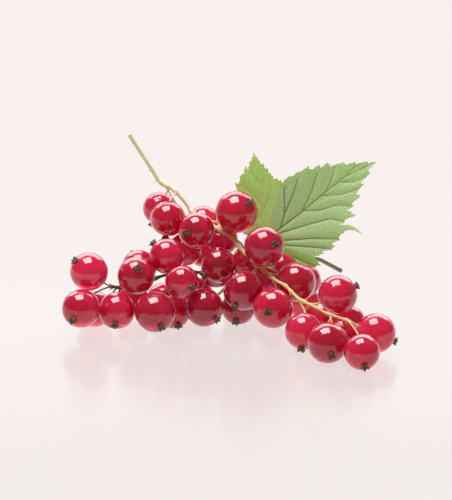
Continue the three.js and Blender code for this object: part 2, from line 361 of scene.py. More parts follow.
def crumple(bm, seed):
    """Lobes and creases that grow from nothing at the foot to their full size at the rim."""
    for vertex in bm.verts:
        height = max(0.0, vertex.co.z / CALYX_HEIGHT)
        angle = math.atan2(vertex.co.y, vertex.co.x)
        lobes = 1 + LOBE_FLARE * height * math.cos(LOBES * angle + seed)
        rough = noise.noise_vector(vertex.co * CRUMPLE_SCALE + Vector((seed, 0, 0)))
        vertex.co.x *= lobes
        vertex.co.y *= lobes
        vertex.co.z += LOBE_RISE * height * math.cos(LOBES * angle + seed)
        vertex.co += rough * CRUMPLE * height


def make_calyx(node, seed):
    centre, radius, axis = BERRIES[node]
    bm = bmesh.new()
    bmesh.ops.create_cone(bm, cap_ends=True, segments=CALYX_SIDES,
                          radius1=CALYX_BASE, radius2=CALYX_RIM, depth=CALYX_HEIGHT,
                          matrix=Matrix.Translation((0, 0, CALYX_HEIGHT / 2)))
    walls = [e for e in bm.edges if abs(e.verts[0].co.z - e.verts[1].co.z) > CALYX_HEIGHT / 2]
    bmesh.ops.subdivide_edges(bm, edges=walls, cuts=CALYX_CUTS)
    rim = [f for f in bm.faces if f.calc_center_median().z > CALYX_HEIGHT * 0.99]
    for thickness, depth in CALYX_INSETS:
        bmesh.ops.inset_region(bm, faces=rim, thickness=thickness, depth=depth)
    crumple(bm, seed * 2.4)
    turn = axis.to_track_quat("Z", "Y").to_matrix().to_4x4()
    foot = centre + axis * (radius * (1 - POLE_DIMPLE) - CALYX_SUNK)
    bm.transform(Matrix.Translation(foot) @ turn)
    for vertex in bm.verts:
        vertex.co.z = max(vertex.co.z, TABLE_FILM)
    return finish_piece(bm, f"{node}_calyx", [CALYX], node)


for number, node in enumerate(BERRY_NODES):
    make_calyx(node, number)
print("made", len(BERRY_NODES), "calyxes")

# %% [markdown]
# ## The stalks
#
# A redcurrant's fruiting stalk (its strig) is one thin green axis with a short stem for each
# berry. It swells where a stem leaves it, and a tiny pointed bract sits there. The CAD model
# holds each stalk as coarse facets, so its routes are repeated here and built again. Two more
# lists say how far along its stalk each berry's stem leaves it, as a share from 0 to 1.

# %% Routes, repeated from the CAD model, in millimetres
MIDDLE_SHIFT = Vector((-0.085, 1.47, 0.0))  # how far the CAD model moved its routes, to centre them
MAIN_ROUTE = [
    (-26.5, 27, 46.7), (-24.2, 27, 43), (-20.8, 26.5, 37.7), (-18.2, 26, 33.9), (-14.8, 25, 32.1),
    (-11.4, 23.5, 28.7), (-10.1, 22.5, 26.8), (-5.2, 19.5, 24.2), (0.8, 15, 21.4),
    (2.9, 12, 19.6), (9.6, 4, 15.4), (12, -2, 15.1), (14.3, -5, 14.6), (17.7, -9, 12.3),
    (21.8, -13.5, 11.4), (25, -16, 10.3), (27.8, -18, 9.9), (30.4, -21, 9.8),
]
REAR_ROUTE = [
    (29.4, 31.5, 8), (26, 30, 10.3), (22.8, 28.5, 12.2), (18, 26.5, 12), (12, 23, 11.2),
    (4, 17.5, 12.2), (-4, 14, 12.8), (-11, 11.5, 13.2), (-18, 9.5, 12.9), (-24.3, 8, 10.2),
    (-31, 4, 11.7),
]
LEAF_STEM_ROUTE = [(8.3, 24.2, 17.4), (5, 26, 14), (1, 28.2, 8.5), (-2, 29.8, 3), (-5, 31, 0.5)]
MAIN_STEMS_AT = [
    0.19, 0.22, 0.30, 0.31, 0.33, 0.35, 0.37, 0.48, 0.51, 0.57, 0.61, 0.65, 0.67, 0.77, 0.82,
    0.88, 0.92, 0.93, 0.99, 0.99, 0.17, 0.41, 0.52, 0.74,
]
REAR_STEMS_AT = [
    0.99, 0.99, 0.96, 0.95, 0.88, 0.80, 0.84, 0.69, 0.74, 0.71, 0.70, 0.65, 0.57, 0.42, 0.38,
    0.30, 0.26, 0.47, 0.44, 0.87,
]
print(len(MAIN_STEMS_AT), "stems leave the main stalk and", len(REAR_STEMS_AT), "the rear one")

# %% [markdown]
# ### A smooth curve through a route
#
# A stalk bends gently, but a route has only five to eighteen points. A Catmull-Rom curve passes
# through every one of them. A Bezier curve would need handles, and a NURBS curve would miss the
# points. The centripetal kind, whose steps in time are square roots of the gaps, makes no
# loops where two points lie close together.

# %% A smooth curve through a route
STEP = 0.35  # millimetres from one point of the curve to the next, nearly


def smooth_route(route):
    """Points on a centripetal Catmull-Rom curve through the route."""
    knots = [Vector(p) + MIDDLE_SHIFT for p in route]
    knots = [2 * knots[0] - knots[1], *knots, 2 * knots[-1] - knots[-2]]
    points = []
    for before, start, end, after in zip(knots, knots[1:], knots[2:], knots[3:]):
        gaps = [math.sqrt((b - a).length) for a, b in ((before, start), (start, end), (end, after))]
        leave = ((start - before) / gaps[0] - (end - before) / (gaps[0] + gaps[1])
                 + (end - start) / gaps[1])
        arrive = ((end - start) / gaps[1] - (after - start) / (gaps[1] + gaps[2])
                  + (after - end) / gaps[2])
        count = max(2, round((end - start).length / STEP))
        for i in range(count):
            t = i / count
            t2, t3 = t * t, t * t * t
            points.append((2 * t3 - 3 * t2 + 1) * start + (t3 - 2 * t2 + t) * leave * gaps[1]
                          + (3 * t2 - 2 * t3) * end + (t3 - t2) * arrive * gaps[1])
    return [*points, knots[-2]]


def place_at(points, share):
    """The point a share of the way along, by length, and the direction there."""
    steps = [0.0]
    for a, b in zip(points, points[1:]):
        steps.append(steps[-1] + (b - a).length)
    index = min(int(np.searchsorted(steps, share * steps[-1])), len(points) - 1)
    index = max(index, 1)
    return points[index], (points[index] - points[index - 1]).normalized()


main_line = smooth_route(MAIN_ROUTE)
main_length = sum((b - a).length for a, b in zip(main_line, main_line[1:]))
print("the main stalk is", round(main_length), "mm long, in", len(main_line), "points")

# %% [markdown]
# ### Strands
#
# A stalk is not a plain tube. It is thickest at its cut end, swells at every joint, and a
# berry's stem flares at both of its ends. So each strand is a list of points with a radius
# at each: one strand for the axis, and one each for a berry's stem and the bract under it. Radius
# along the strand could be drawn by hand, but bell curves round each joint do it for all.

# %% Strands: lists of points with a radius each, in millimetres
THICK_END, THIN_END = 0.58, 0.34  # radii of a stalk
CUT_SPREAD, CUT_LENGTH = 0.08, 0.5  # the cut end is squeezed a little wider
JOINT_SWELL, JOINT_LENGTH = 0.22, 0.8
BERRY_STEM_RADIUS, LEAF_STEM_RADIUS, LEAF_STEM_TAPER = 0.23, 0.45, 0.8
STEM_SPREAD = 0.22  # how far a stem sets out along its stalk, as a share of its length
STEM_BEND, LONGEST_BEND = 0.45, 1.6  # and how far it runs straight into the berry, at most
STEM_REACHES = 0.985  # a stem ends just under its berry's skin
STEM_POINTS, STEM_MIDDLE = 14, 0.95
BERRY_FLARE, STALK_FLARE, FLARE_SHARE = 0.75, 0.6, 0.10
BRACT_OUT, BRACT_ALONG, BRACT_RADIUS, BRACT_TIP = 1.25, 0.9, 0.26, 0.05


def bezier(a, b, c, d, count):
    """Points on the curve from a to d that sets out towards b and arrives from c."""
    for i in range(count + 1):
        t = i / count
        yield a * (1 - t) ** 3 + b * 3 * t * (1 - t) ** 2 + c * 3 * t * t * (1 - t) + d * t**3


def axis_strand(points, thick, thin, joints):
    """The stalk itself: thinner towards its tip, swollen at each joint, spread by the cut."""
    strand = []
    for i, point in enumerate(points):
        radius = thick + (thin - thick) * i / len(points)
        gap = min([(point - joint).length for joint in joints], default=math.inf)
        swell = math.exp(-((gap / JOINT_LENGTH) ** 2))
        cut = math.exp(-(point - points[0]).length / CUT_LENGTH)
        strand.append((point, radius + JOINT_SWELL * swell + CUT_SPREAD * cut))
    return strand


def berry_stem_strand(start, onward, node):
    """A berry's stem: out of the stalk, and flared where it meets the berry."""
    centre, radius, axis = BERRIES[node]
    end = centre - axis * radius * STEM_REACHES
    reach = (end - start).length
    handle = end - axis * min(reach * STEM_BEND, LONGEST_BEND)
    points = list(bezier(start, start + onward * reach * STEM_SPREAD, handle, end, STEM_POINTS))
    strand = []
    for i, point in enumerate(points):
        t = i / (len(points) - 1)
        flare = BERRY_FLARE * math.exp(-((1 - t) / FLARE_SHARE))
        flare += STALK_FLARE * math.exp(-t / FLARE_SHARE)
        strand.append((point, BERRY_STEM_RADIUS * (STEM_MIDDLE + flare)))
    return strand


def bract_strand(start, onward, node):
    """The small pointed scale under a berry's stem."""
    away = (BERRIES[node][0] - start).normalized()
    side = (away - onward * away.dot(onward)).normalized()
    tip = start + side * BRACT_OUT + onward * BRACT_ALONG
    return [(start.lerp(tip, t), BRACT_RADIUS * (1 - t) + BRACT_TIP)
            for t in (0.0, 0.25, 0.5, 0.75, 1.0)]


print("stalks", 2 * THICK_END, "mm thick at the cut end and", 2 * THIN_END, "mm at the tip")

# %% [markdown]
# ### Strands into one skin
#
# The strands run into each other at every fork, where a real stalk is one piece of tissue. Joining
# tubes by hand at nearly fifty forks would be slow, and a Boolean leaves sharp creases. A voxel
# remesh throws away the old faces and wraps one closed skin round everything. The voxels are
# about a fifth of a berry stem's thickness, and smoothing the points three times takes their
# steps away and rounds the forks.

# %% Strands into one skin
VOXEL = 0.10  # millimetres
SMOOTHINGS = 3


def strands_to_mesh(name, strands):
    """Tubes along the strands, grown together by a voxel remesh. Still in millimetres."""
    # the curve's bevel is 1 mm, so the radius at each of its points is the strand's own, in mm
    curve = bpy.data.curves.new(name, "CURVE")
    curve.dimensions = "3D"
    curve.bevel_depth = 1.0
    curve.bevel_resolution = 3
    curve.use_fill_caps = True
    for strand in strands:
        spline = curve.splines.new("POLY")
        spline.points.add(len(strand) - 1)
        for point, (place, radius) in zip(spline.points, strand):
            point.co = (*place, 1.0)
            point.radius = radius
    tubes = bpy.data.objects.new(name, curve)
    bpy.context.scene.collection.objects.link(tubes)
    remesh = tubes.modifiers.new("grow together", "REMESH")
    remesh.mode = "VOXEL"
    remesh.voxel_size = VOXEL
    depsgraph = bpy.context.evaluated_depsgraph_get()
    mesh = bpy.data.meshes.new_from_object(tubes.evaluated_get(depsgraph))
    bpy.data.objects.remove(tubes)
    bpy.data.curves.remove(curve)
    return mesh


def make_stalk(name, strands, material):
    """Takes the place of the CAD node of the same name."""
    mesh = strands_to_mesh(name, strands)
    bm = bmesh.new()
    bm.from_mesh(mesh)
    bpy.data.meshes.remove(mesh)
    for _ in range(SMOOTHINGS):
        bmesh.ops.smooth_vert(bm, verts=bm.verts, factor=0.5,
                              use_axis_x=True, use_axis_y=True, use_axis_z=True)
    print(name, len(bm.faces), "faces, closed:", all(edge.is_manifold for edge in bm.edges))
    return finish_piece(bm, f"{name}_skin", [material], name)


# %% [markdown]
# ## Stalk materials
#
# A stalk is living green wood: pale, a little see-through and only softly shiny, so a small share
# of subsurface light keeps it from looking like wire. Where the main stalk stands clear it
# is pale yellow-green, and the older rear stalk is darker and browner. Broad patches and small
# brown flecks, each a noise at its real size, break up the colour.

# %% Materials: stalks
STALK_PATCHES, STALK_PATCH_SHARE = 240.0, 0.5  # noise cells per metre: patches about 4 mm across
STALK_FLECKS, FLECK_STRENGTH = 1500.0, 0.3  # and flecks about 0.7 mm apart


def stalk_material(name, cut_end, tip, fleck, roughness, start, reach):
    """A stalk whose colour runs from its cut end to its tip, over a stretch of X in metres."""
    material, shader = new_material(name, roughness=roughness, subsurface_weight=0.7,
                                    subsurface_radius=(1.0, 0.9, 0.5), subsurface_scale=0.0006)
    here = add(material, "ShaderNodeTexCoord").outputs["Object"]
    along = add(material, "ShaderNodeSeparateXYZ", inputs={0: here})
    broad = add(material, "ShaderNodeTexNoise",
                inputs={"Vector": here, "Scale": STALK_PATCHES, "Detail": 2.0})
    from_cut = add(material, "ShaderNodeMapRange", {"clamp": True},
                   {"Value": along.outputs["X"], "From Min": start, "From Max": start + reach})
    patchy = add(material, "ShaderNodeMath", {"operation": "MULTIPLY_ADD"},
                 {0: broad.outputs["Fac"], 1: STALK_PATCH_SHARE, 2: -STALK_PATCH_SHARE / 2})
    share = add(material, "ShaderNodeMath", {"operation": "ADD", "use_clamp": True},
                {0: from_cut.outputs[0], 1: patchy.outputs[0]})
    tone = add(material, "ShaderNodeMix", {"data_type": "RGBA"},
               {"Factor": share.outputs[0], "A": linear(cut_end), "B": linear(tip)})
    flecks = add(material, "ShaderNodeTexNoise",
                 inputs={"Vector": here, "Scale": STALK_FLECKS, "Detail": 3.0})
    speck = add(material, "ShaderNodeMapRange", {"clamp": True},
                {"Value": flecks.outputs["Fac"], "From Min": 0.60, "From Max": 0.74,
                 "To Max": FLECK_STRENGTH})
    colour = add(material, "ShaderNodeMix", {"data_type": "RGBA"},
                 {"Factor": speck.outputs[0], "A": tone.outputs["Result"], "B": linear(fleck)})
    link(material, colour.outputs["Result"], shader.inputs["Base Color"])
    bump = add(material, "ShaderNodeBump",
               inputs={"Height": flecks.outputs["Fac"], "Strength": 0.2, "Distance": 0.0001})
    link(material, bump.outputs[0], shader.inputs["Normal"])
    return material


# young and pale / old, drier and brown / the leaf's own stem, soft and green
GREEN_STALK = stalk_material("green stalk", "#FCFACC", "#E8D49A", "#CDB980", 0.5, -0.014, 0.016)
WOODY_STALK = stalk_material("woody stalk", "#7A6A44", "#A0967A", "#5E4234", 0.6, -0.02, 0.04)
LEAF_STALK = stalk_material("leaf stem", "#B9B878", "#94965A", "#7C6644", 0.5, -0.005, 0.012)
print("each stalk material has", len(GREEN_STALK.node_tree.nodes), "nodes")

# %% [markdown]
# ### The stalks themselves
#
# Two fruiting stalks and the leaf's stem are now grown from their strands. The main stalk
# also keeps a few bare stems near its cut end, where berries were lost.

# %% The stalks themselves
BARE_STEMS = [  # how far along the stalk, where the tip is from there, and the radius
    (0.128, (-1.3, -0.3, 0.5), 0.26),
    (0.150, (-0.9, -0.4, -1.6), 0.20),
    (0.175, (4.2, -0.6, 0.2), 0.13),
]
BARE_POINTS, BARE_TAPER = 8, 0.6


def bare_strand(start, onward, tip, radius):
    """A stem whose berry is gone: it tapers to its dry end."""
    end = start + Vector(tip)
    return [(place, radius * (1 - BARE_TAPER * i / BARE_POINTS))
            for i, place in enumerate(bezier(start, start + onward, end, end, BARE_POINTS))]


def fruiting_strands(route, stems_at, prefix, bare_stems=()):
    """The axis, then a stem and a bract for each berry, then the bare stems."""
    points = smooth_route(route)
    starts = [place_at(points, share) for share in stems_at]
    nodes = [f"{prefix}_{i + 1:02d}" for i in range(len(stems_at))]
    strands = [axis_strand(points, THICK_END, THIN_END, [start for start, _ in starts])]
    for (start, onward), node in zip(starts, nodes):
        strands.append(berry_stem_strand(start, onward, node))
        strands.append(bract_strand(start, onward, node))
    for share, tip, radius in bare_stems:
        strands.append(bare_strand(*place_at(points, share), tip, radius))
    return strands


main_strands = fruiting_strands(MAIN_ROUTE, MAIN_STEMS_AT, "main_berry", BARE_STEMS)
make_stalk("main_stalk", main_strands, GREEN_STALK)
rear_strands = fruiting_strands(REAR_ROUTE, REAR_STEMS_AT, "rear_berry")
make_stalk("rear_stalk", rear_strands, WOODY_STALK)
leaf_stem_line = smooth_route(LEAF_STEM_ROUTE)
leaf_stem_top = LEAF_STEM_RADIUS * LEAF_STEM_TAPER
leaf_stem_strand = axis_strand(leaf_stem_line, leaf_stem_top, LEAF_STEM_RADIUS, [])
make_stalk("leaf_stem", [leaf_stem_strand], LEAF_STALK)

# %% [markdown]
# ## The leaf
#
# A currant leaf has lobes that fan out from where its stem joins, each with its own midvein, and
# an edge of large and small teeth. It could be cut from a flat sheet, but the cut edge would be
# ragged. Instead a flat grid is wrapped round that joint: one way across the grid is the
# bearing, the other the distance to the edge. The outline is then a plain table of bearing
# and distance, a tooth or a notch at a time.

# %% Leaf outline: bearings in degrees from level, distances in millimetres
OUTLINE = {
    "stem notch": [(-150, 1.6), (-90, 2.4), (-60, 5.0)],
    "curled lobe": [
        (-52, 7.4), (-45, 8.5), (-40, 12.2), (-36, 13.0), (-33, 14.9), (-28.5, 14.6), (-25, 15.8),
        (-19, 13.5),
    ],
    "right lobe": [
        (-15, 15.1), (-10.6, 15.6), (-8.5, 17.6), (-5.8, 18.0), (-2.5, 17.7), (0, 19.4),
        (3.1, 19.3), (5.1, 20.6), (6.6, 21.4), (7.6, 25.3), (8.7, 24.9), (10.2, 22.7),
        (11.2, 20.1),
    ],
    "middle lobe, lower edge": [
        (14.4, 22.0), (15.4, 24.4), (20.0, 22.8), (20.6, 24.3), (23.3, 25.0), (24.2, 27.2),
        (27.4, 26.8), (29.3, 29.5), (31.0, 29.3), (32.2, 32.2), (34.1, 32.7), (34.4, 33.8),
    ],
    "middle lobe, tip": [(35.0, 35.5)],
    "middle lobe, upper edge": [
        (36.6, 33.4), (37.8, 33.5), (39.6, 31.0), (41.1, 30.9), (43.0, 28.6), (44.6, 28.9),
        (46.9, 26.9), (48.7, 25.5), (51.1, 26.1), (52.5, 23.8), (54.4, 24.1), (57.1, 21.8),
        (59.8, 22.3), (63.1, 20.0), (65.1, 19.8), (66.9, 18.1), (69.0, 18.1), (71.6, 16.9),
    ],
    "left lobe, right edge": [
        (73.7, 15.7), (78.9, 16.3), (82.6, 16.2), (84.4, 17.2), (87.5, 17.6), (88.4, 19.0),
        (90.8, 18.7), (91.4, 19.8), (93.7, 20.1), (95.6, 21.5),
    ],
    "left lobe, tip": [(97.8, 23.0)],
    "left lobe, left edge": [
        (100.2, 21.4), (101.5, 21.0), (103.7, 19.2), (105.8, 20.0), (108.6, 18.2), (111.5, 18.4),
        (114.2, 16.6), (118.5, 16.9), (119.6, 15.2), (121.2, 15.1), (124, 13.4), (129, 13.2),
    ],
    "lobe behind": [
        (132, 11.2), (139, 11.0), (143, 9.4), (150, 9.0), (158, 7.0), (165, 6.0), (180, 2.6),
        (210, 1.6),
    ],
}
EDGE = np.array([corner for lobe in OUTLINE.values() for corner in lobe])
print(len(EDGE), "corners on the leaf's edge")

# %% [markdown]
# ### Veins
#
# Each vein is a few short lines on the flat leaf, in millimetres right of and above the stem's
# joint. They could be painted on, but a distance stays sharp however near one looks. The distance
# from every point of the blade to its nearest vein does three jobs: it sinks the veins into the
# upper side, it puffs up the blade between them, and it gives them their own colour.

# %% Leaf veins
VEINS = [
    [(0, 0), (-1.1, 4.2), (-1.0, 8.8), (-1.1, 13.9), (-2.1, 19.5), (-3.1, 22.6)],
    [(-0.6, 7.0), (1.7, 12.5), (2.0, 16.9)],
    [(-1.1, 13.0), (0.2, 16.5), (-0.2, 18.9)],
    [(-1.0, 8.8), (-4.0, 12.0), (-6.4, 14.4)],
    [(-1.1, 13.9), (-3.5, 17.0), (-5.2, 19.0)],
    [(-1.0, 5.0), (-4.5, 8.5), (-7.4, 11.2)],
    [(0, 0), (3.9, 2.9), (9.6, 7.3), (15.9, 12.6), (21.0, 16.5), (28.9, 20.3)],
    [(3.9, 3.0), (5.2, 7.3), (7.3, 12.0), (8.4, 16.0)],
    [(9.6, 7.4), (12.0, 12.5), (13.6, 17.6)],
    [(5.0, 7.0), (4.9, 10.5), (4.9, 14.0)],
    [(15.9, 12.6), (17.4, 16.2), (18.4, 19.4)],
    [(21.0, 16.5), (23.0, 18.6), (25.4, 19.8)],
    [(10.1, 7.6), (14.2, 7.6), (18.5, 9.0), (23.0, 8.6)],
    [(14.4, 11.4), (20.0, 11.8), (25.2, 13.4)],
    [(19.2, 15.0), (23.5, 15.0), (27.2, 17.0)],
    [(0, 0), (4.4, 1.8), (11.2, 3.9), (17.0, 5.4), (24.4, 3.9)],
    [(0, 0), (4.9, -0.3), (12.0, 0.3), (19.2, 0.2)],
    [(0, 0), (5.7, -1.6), (11.0, -1.9), (16.6, -2.4)],
    [(0, 0), (5.0, -3.4), (9.5, -5.6), (13.6, -7.2)],
    [(0, 0), (-2.6, 2.6), (-6.6, 4.8)],
]
VEIN_WIDTH, QUILT_WIDTH = 0.34, 1.1  # millimetres
VEIN_DEPTH, QUILT_HEIGHT = 0.14, 0.16


def distance_to_veins(flat):
    """For points (n, 2) on the flat leaf, the distance in millimetres to the nearest vein."""
    nearest = np.full(len(flat), np.inf)
    for vein in VEINS:
        for a, b in zip(np.array(vein, float), np.array(vein[1:], float)):
            along = np.clip(((flat - a) @ (b - a)) / ((b - a) @ (b - a)), 0, 1)
            closest = a + along[:, None] * (b - a)
            nearest = np.minimum(nearest, np.linalg.norm(flat - closest, axis=1))
    return nearest


print(len(VEINS), "veins in", sum(len(vein) - 1 for vein in VEINS), "short lines")

# %% [markdown]
# ### Leaf materials
#
# A leaf is thin and lets some light through, so it has a share of subsurface light in green. The
# upper side is a soft mid green with a waxy sheen and dark sunk veins. The lobe that stands
# in full light is painted yellower, with pale veins: painted light. The lobe curled under is
# painted a darker olive: painted shade. The underside is paler and duller. Between
# the veins runs a net of tiny ones about a millimetre apart. A Voronoi pattern draws it, because
# the borders of its cells close into a net as real ones do.

# %% Materials: leaf
NET_CELLS = 1000  # Voronoi cells per metre: a net of veins about 1 mm apart
NET_STRENGTH = 0.30  # how far the net's lines take on the colour of the veins
LEAF_PATCHES, PATCH_SHARE = 260.0, 0.6  # noise cells per metre: patches about 4 mm across


def leaf_material(name, colours, roughness, net_depth):
    """Colours: middle of the leaf, lobe in painted light, lobe in painted shade, veins, veins in
    painted light.
    """
    middle, lobe, shaded, veins, lit_veins = (linear(code) for code in colours)
    material, shader = new_material(name, roughness=roughness, subsurface_weight=0.6,
                                    subsurface_radius=(0.8, 1.0, 0.7), subsurface_scale=0.0010)
    here = add(material, "ShaderNodeTexCoord").outputs["Object"]
    broad = add(material, "ShaderNodeTexNoise",
                inputs={"Vector": here, "Scale": LEAF_PATCHES, "Detail": 4.0})
    # tone carries painted light: the lit lobe is painted yellower, and the tone also grows towards
    # the edge
    tone = add(material, "ShaderNodeAttribute", {"attribute_name": "tone"})
    patchy = add(material, "ShaderNodeMath", {"operation": "MULTIPLY_ADD", "use_clamp": True},
                 {0: broad.outputs["Fac"], 1: PATCH_SHARE, 2: tone.outputs["Fac"]})
    blade = add(material, "ShaderNodeMix", {"data_type": "RGBA"},
                {"Factor": patchy.outputs[0], "A": middle, "B": lobe})
    # painted shade: the lobe curled under is painted a darker olive
    shade = add(material, "ShaderNodeAttribute", {"attribute_name": "shade"})
    darker = add(material, "ShaderNodeMix", {"data_type": "RGBA"},
                 {"Factor": shade.outputs["Fac"], "A": blade.outputs["Result"], "B": shaded})
    net = add(material, "ShaderNodeTexVoronoi", {"feature": "DISTANCE_TO_EDGE"},
              {"Vector": here, "Scale": NET_CELLS})
    net_line = add(material, "ShaderNodeMapRange", {"clamp": True},
                   {"Value": net.outputs["Distance"], "From Max": 0.10,
                    "To Min": NET_STRENGTH, "To Max": 0.0})
    netted = add(material, "ShaderNodeMix", {"data_type": "RGBA"},
                 {"Factor": net_line.outputs[0], "A": darker.outputs["Result"], "B": veins})
    vein = add(material, "ShaderNodeAttribute", {"attribute_name": "vein_distance"})
    vein_line = add(material, "ShaderNodeMapRange", {"clamp": True},
                    {"Value": vein.outputs["Fac"], "From Min": 0.10, "From Max": 0.30,
                     "To Min": 0.9, "To Max": 0.0})
    # painted light: the veins of the lit lobe are painted pale
    vein_tone = add(material, "ShaderNodeMix", {"data_type": "RGBA"},
                    {"Factor": tone.outputs["Fac"], "A": veins, "B": lit_veins})
    colour = add(material, "ShaderNodeMix", {"data_type": "RGBA"},
                 {"Factor": vein_line.outputs[0], "A": netted.outputs["Result"],
                  "B": vein_tone.outputs["Result"]})
    link(material, colour.outputs["Result"], shader.inputs["Base Color"])
    bump = add(material, "ShaderNodeBump",
               inputs={"Height": net.outputs["Distance"], "Strength": 0.5, "Distance": net_depth})
    link(material, bump.outputs[0], shader.inputs["Normal"])
    return material


# each side: middle, lobe in painted light, lobe in painted shade, veins, veins in painted light
UPPER_COLOURS = ("#BFD2AC", "#C6EC8E", "#A9CC74", "#6E8458", "#F0F8C8")
UNDER_COLOURS = ("#B4C192", "#A2B27A", "#8E9460", "#C9CEA6", "#C9CEA6")
NET_DEPTH = 0.0001  # metres: the net is sunk on the upper side and raised underneath
LEAF_UPPER = leaf_material("leaf upper side", UPPER_COLOURS, 0.42, NET_DEPTH)
LEAF_UNDER = leaf_material("leaf under side", UNDER_COLOURS, 0.7, -NET_DEPTH)
print("each side of the leaf has", len(LEAF_UPPER.node_tree.nodes), "nodes")

# %% [markdown]
# ### The toothed edge
#
# A currant leaf's large teeth carry small ones. The large teeth are in the outline. The small ones
# would make that table several times as long, so they are added as a saw wave along the edge. It
# leans one way, because leaf teeth point forwards, and it fades out near the stem.

# %% The toothed edge
TOOTH_PITCH, TOOTH_DEPTH = 1.3, 0.7  # millimetres
TOOTH_POINT, TOOTH_MIDDLE = 0.6, 0.4
TEETH_START, TEETH_FADE = 9, 4  # millimetres from the stem's joint


def leaf_edge(walk):
    """Points (n, 2) along the edge, for walk from 0 to 1, with fine teeth between the large ones."""
    bearing, distance = np.radians(EDGE[:, 0]), EDGE[:, 1]
    corners = np.column_stack([distance * np.cos(bearing), distance * np.sin(bearing)])
    lengths = np.concatenate([[0.0], np.cumsum(np.linalg.norm(np.diff(corners, axis=0), axis=1))])
    along = walk * lengths[-1]
    plain = np.column_stack([np.interp(along, lengths, corners[:, axis]) for axis in (0, 1)])
    reach = np.linalg.norm(plain, axis=1)
    saw = 1 - np.abs((along / TOOTH_PITCH) % 1.0 - TOOTH_POINT) * 2
    far_out = np.clip((reach - TEETH_START) / TEETH_FADE, 0, 1)
    return plain * (1 + TOOTH_DEPTH * (saw - TOOTH_MIDDLE) * far_out / reach)[:, None]


edge_points = leaf_edge(np.linspace(0, 1, 2000))
edge_length = np.linalg.norm(np.diff(edge_points, axis=0), axis=1).sum()
print("the edge is", round(edge_length), "mm long with its small teeth")

# %% [markdown]
# ### The leaf blade
#
# A living leaf is never flat. It folds up along its midrib, droops towards its tip, ripples more
# towards its edge, and puffs up between its veins. Each of these is one term of a height over
# the flat leaf. They are added up, and the blade is stood up and leaned back. One thin skin of
# faces then gets its thickness from Solidify, which also gives the underside its own material.

# %% Leaf blade
LEAF_BASE = Vector((9.4, 24.0, 18.8)) + MIDDLE_SHIFT  # where the stem joins, in millimetres
LEAF_LEAN = math.radians(12)
MIDRIB_BEARING = math.radians(35)
SPOKES, RINGS = 520, 86
BLADE_THICKNESS = 0.28
BLADE_FOLD, BLADE_DROOP, BLADE_REACH = 0.12, 2.2, 35.0
QUILT_START = 5  # millimetres from the joint, where the puffs reach their full height
FINE_RIPPLE, FINE_RIPPLES = 0.30, 13  # height, and ripples in a full turn
BROAD_RIPPLE, BROAD_RIPPLES = 0.7, 4.0
HOOK_DOWN, HOOK_OUT = 2.0, 1.5
HOOK_START, HOOK_FADE = 21.5, 4  # millimetres from the joint
HOOK_BEARING, HOOK_SPREAD, HOOK_SOFT = 4, 12, 4  # degrees
VEIN_TAPER = 0.004
# painted light and painted shade: the lit lobe is painted yellower, and the lobe curled under is
# painted darker
LIT_FROM, LIT_FADE = 70, 10  # bearings in degrees: the sunlit lobe
SHADED_TO, SHADED_FADE, SHADED_FROM, SHADED_START = -14, 8, -150, 10  # and the shaded one
LIT_TONE, OUTER_TONE, BASE_TONE, TONE_REACH = 0.75, 0.3, -0.2, 30
SHADE = 0.9


def blade_relief(flat, near):
    """How far each point stands towards the front of the flat leaf's plane, in millimetres."""
    bearing = np.arctan2(flat[:, 1], flat[:, 0])
    distance = np.linalg.norm(flat, axis=1)
    turned = bearing - MIDRIB_BEARING
    fold = BLADE_FOLD * np.abs(distance * np.sin(turned))
    droop = BLADE_DROOP * (np.maximum(0, distance * np.cos(turned)) / BLADE_REACH) ** 2
    quilt = QUILT_HEIGHT * (1 - np.exp(-((near / QUILT_WIDTH) ** 2)))
    quilt *= np.minimum(1, distance / QUILT_START)
    sunk = VEIN_DEPTH * np.exp(-((near / VEIN_WIDTH) ** 2))
    outer = (distance / BLADE_REACH) ** 2
    ripple = outer * (FINE_RIPPLE * np.sin(bearing * FINE_RIPPLES)
                      + BROAD_RIPPLE * np.sin(bearing * BROAD_RIPPLES + 1))
    return fold - droop + quilt - sunk + ripple


def curl_tip(flat, out):
    """The point of the right lobe is thin and dry: it hooks down and towards the front."""
    distance = np.linalg.norm(flat, axis=1)
    bearing = np.degrees(np.arctan2(flat[:, 1], flat[:, 0]))
    far_out = np.clip((distance - HOOK_START) / HOOK_FADE, 0, 1) ** 2
    off_bearing = np.abs(bearing - HOOK_BEARING)
    hook = far_out * np.clip((HOOK_SPREAD - off_bearing) / HOOK_SOFT, 0, 1)
    flat[:, 1] -= HOOK_DOWN * hook
    out += HOOK_OUT * hook


def blade_values(flat, near):
    """What the leaf's materials read at each point."""
    distance = np.linalg.norm(flat, axis=1)
    degrees = np.degrees(np.arctan2(flat[:, 1], flat[:, 0]))
    # painted light on the lit lobe, and painted shade on the lobe curled under
    lit_lobe = np.clip((degrees - LIT_FROM) / LIT_FADE, 0, 1)
    low_lobe = np.clip((SHADED_TO - degrees) / SHADED_FADE, 0, 1)
    low_lobe *= np.clip((degrees - SHADED_FROM) / SHADED_START, 0, 1)
    outer = np.clip(distance / TONE_REACH, 0, 1)
    return {
        "vein_distance": near + VEIN_TAPER * distance,  # veins grow thinner outwards
        "tone": LIT_TONE * lit_lobe + OUTER_TONE * outer + BASE_TONE,
        "shade": SHADE * low_lobe,
    }


